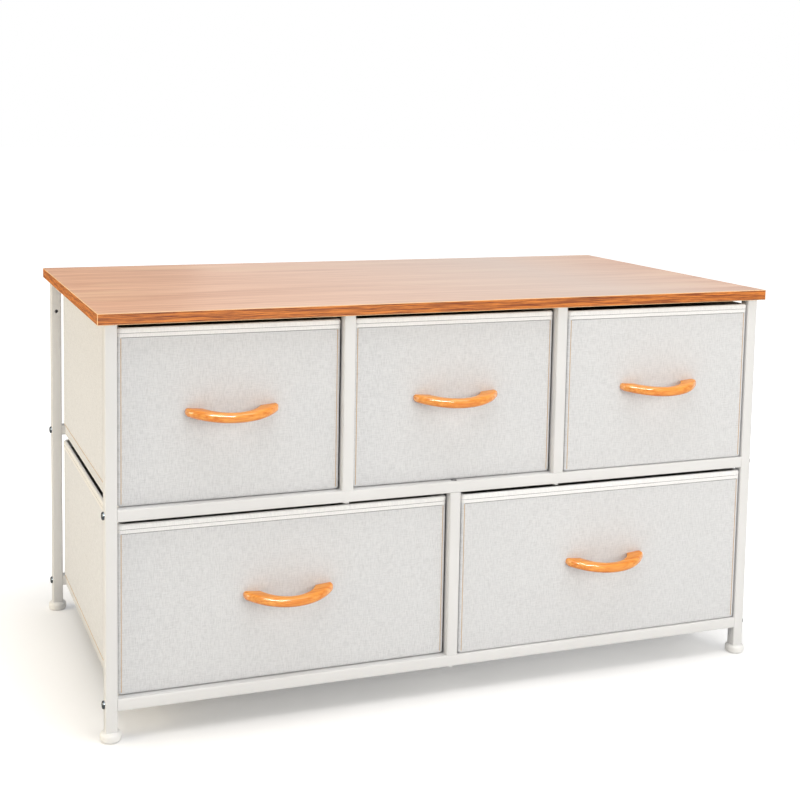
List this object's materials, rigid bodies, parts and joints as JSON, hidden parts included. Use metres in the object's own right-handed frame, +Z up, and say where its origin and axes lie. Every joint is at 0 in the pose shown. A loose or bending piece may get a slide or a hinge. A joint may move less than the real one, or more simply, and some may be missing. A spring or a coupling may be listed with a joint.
{
  "type": "fabric drawer dresser",
  "caption": "Low wide dresser: white steel tube frame with a wood-look top, carrying two tiers of fabric drawers with wooden bow handles, on levelling feet.",
  "frame": {"origin": "on the floor, at the middle of the whole dresser's box, handles included", "axes": "+X to the right along the width, seen from the front; +Y to the back; +Z up"},
  "size_m": [1, 0.5504, 0.563],
  "materials": {
    "laminate_wood": "satin wood-grain laminate",
    "powder_coat": "white powder coat",
    "linen": "light grey linen-look non-woven",
    "binding_tape": "plain bias tape",
    "fibreboard": "raw fibreboard",
    "handle_wood": "clear-lacquered beech",
    "zinc_steel": "bright zinc plate",
    "white_plastic": "moulded nylon"
  },
  "bodies": {
    "frame": {"board_brackets": "powder_coat", "board_screws": "zinc_steel", "divider_front_lower": "powder_coat", "divider_front_upper_left": "powder_coat", "divider_front_upper_right": "powder_coat", "divider_rear_lower": "powder_coat", "divider_screws": "zinc_steel", "dividers_rear_upper": "powder_coat", "foot_inserts": "white_plastic", "frame_bolts": "zinc_steel", "post_front_left": "powder_coat", "post_front_right": "powder_coat", "post_rear_left": "powder_coat", "post_rear_right": "powder_coat", "rail_front_bottom": "powder_coat", "rail_front_mid": "powder_coat", "rail_rear_bottom": "powder_coat", "rail_rear_mid": "powder_coat", "runner_bottom_centre": "powder_coat", "runner_bottom_left": "powder_coat", "runner_bottom_right": "powder_coat", "runner_mid_centre_left": "powder_coat", "runner_mid_centre_right": "powder_coat", "runner_mid_left": "powder_coat", "runner_mid_right": "powder_coat", "top_board": "laminate_wood"},
    "drawer_upper_left": {"drawer_upper_left_base_board": "fibreboard", "drawer_upper_left_binding": "binding_tape", "drawer_upper_left_handle": "handle_wood", "drawer_upper_left_handle_screws": "zinc_steel", "drawer_upper_left_shell": "linen", "drawer_upper_left_stiffener": "fibreboard"},
    "drawer_upper_middle": {"drawer_upper_middle_base_board": "fibreboard", "drawer_upper_middle_binding": "binding_tape", "drawer_upper_middle_handle": "handle_wood", "drawer_upper_middle_handle_screws": "zinc_steel", "drawer_upper_middle_shell": "linen", "drawer_upper_middle_stiffener": "fibreboard"},
    "drawer_upper_right": {"drawer_upper_right_base_board": "fibreboard", "drawer_upper_right_binding": "binding_tape", "drawer_upper_right_handle": "handle_wood", "drawer_upper_right_handle_screws": "zinc_steel", "drawer_upper_right_shell": "linen", "drawer_upper_right_stiffener": "fibreboard"},
    "drawer_lower_left": {"drawer_lower_left_base_board": "fibreboard", "drawer_lower_left_binding": "binding_tape", "drawer_lower_left_handle": "handle_wood", "drawer_lower_left_handle_screws": "zinc_steel", "drawer_lower_left_shell": "linen", "drawer_lower_left_stiffener": "fibreboard"},
    "drawer_lower_right": {"drawer_lower_right_base_board": "fibreboard", "drawer_lower_right_binding": "binding_tape", "drawer_lower_right_handle": "handle_wood", "drawer_lower_right_handle_screws": "zinc_steel", "drawer_lower_right_shell": "linen", "drawer_lower_right_stiffener": "fibreboard"},
    "foot_front_left": {"foot_front_left": "white_plastic"},
    "foot_front_right": {"foot_front_right": "white_plastic"},
    "foot_rear_left": {"foot_rear_left": "white_plastic"},
    "foot_rear_right": {"foot_rear_right": "white_plastic"}
  },
  "joints": [
    {"name": "drawer_upper_left_slide", "type": "slide", "parent": "frame", "child": "drawer_upper_left", "axis": [0, -1, 0], "range_m": [0, 0.3]},
    {"name": "drawer_upper_middle_slide", "type": "slide", "parent": "frame", "child": "drawer_upper_middle", "axis": [0, -1, 0], "range_m": [0, 0.3]},
    {"name": "drawer_upper_right_slide", "type": "slide", "parent": "frame", "child": "drawer_upper_right", "axis": [0, -1, 0], "range_m": [0, 0.3]},
    {"name": "drawer_lower_left_slide", "type": "slide", "parent": "frame", "child": "drawer_lower_left", "axis": [0, -1, 0], "range_m": [0, 0.3]},
    {"name": "drawer_lower_right_slide", "type": "slide", "parent": "frame", "child": "drawer_lower_right", "axis": [0, -1, 0], "range_m": [0, 0.3]},
    {"name": "foot_front_left_turn", "type": "hinge", "parent": "frame", "child": "foot_front_left", "pos_m": [-0.482, -0.23075, 0], "axis": [0, 0, 1], "continuous": true},
    {"name": "foot_front_right_turn", "type": "hinge", "parent": "frame", "child": "foot_front_right", "pos_m": [0.482, -0.23075, 0], "axis": [0, 0, 1], "continuous": true},
    {"name": "foot_rear_left_turn", "type": "hinge", "parent": "frame", "child": "foot_rear_left", "pos_m": [-0.482, 0.26125, 0], "axis": [0, 0, 1], "continuous": true},
    {"name": "foot_rear_right_turn", "type": "hinge", "parent": "frame", "child": "foot_rear_right", "pos_m": [0.482, 0.26125, 0], "axis": [0, 0, 1], "continuous": true}
  ]
}
